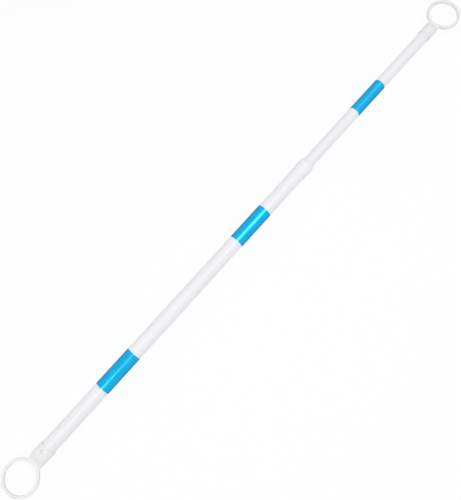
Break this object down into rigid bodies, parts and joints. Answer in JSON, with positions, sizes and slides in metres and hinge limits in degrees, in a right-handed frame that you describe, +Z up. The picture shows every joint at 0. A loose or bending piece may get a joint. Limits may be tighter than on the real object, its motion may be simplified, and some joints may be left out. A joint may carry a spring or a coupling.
{
  "type": "cone bar",
  "caption": "Telescopic cone bar: white tubes that slide one in the other, blue reflective bands, a hidden twist lock, and a moulded ring at each end that drops over a traffic cone.",
  "frame": {"origin": "centre of the near ring, on the bar's axis", "axes": "+X along the bar from the near ring to the far ring, +Z up along the rings' axes"},
  "size_m": [1.721, 0.091, 0.0444],
  "materials": {
    "tube_white": "satin extruded plastic",
    "moulded_white": "satin moulded plastic",
    "reflective_blue": "glossy reflective film",
    "lock_nylon": "matt moulded nylon",
    "screw_steel": "zinc-plated steel"
  },
  "bodies": {
    "outer": {"outer_tube": "tube_white", "near_ring_end": "moulded_white", "near_end_screw": "screw_steel", "mouth_collar": "moulded_white", "near_band": "reflective_blue", "middle_band": "reflective_blue"},
    "brake": {"brake_ring": "lock_nylon"},
    "inner": {"inner_tube": "tube_white", "stop_sleeve": "lock_nylon", "cam_plug": "lock_nylon", "plug_pin": "screw_steel", "cam_washer": "screw_steel", "cam_screw": "screw_steel", "far_ring_end": "moulded_white", "far_end_screw": "screw_steel", "far_band": "reflective_blue"}
  },
  "joints": [
    {"name": "bar_slide", "type": "slide", "parent": "outer", "child": "brake", "axis": [1, 0, 0], "range_m": [-0.496, 0.324]},
    {"name": "lock_twist", "type": "hinge", "parent": "brake", "child": "inner", "pos_m": [0.5985, 0, 0.0006], "axis": [1, 0, 0], "range_deg": [-60, 60]}
  ]
}
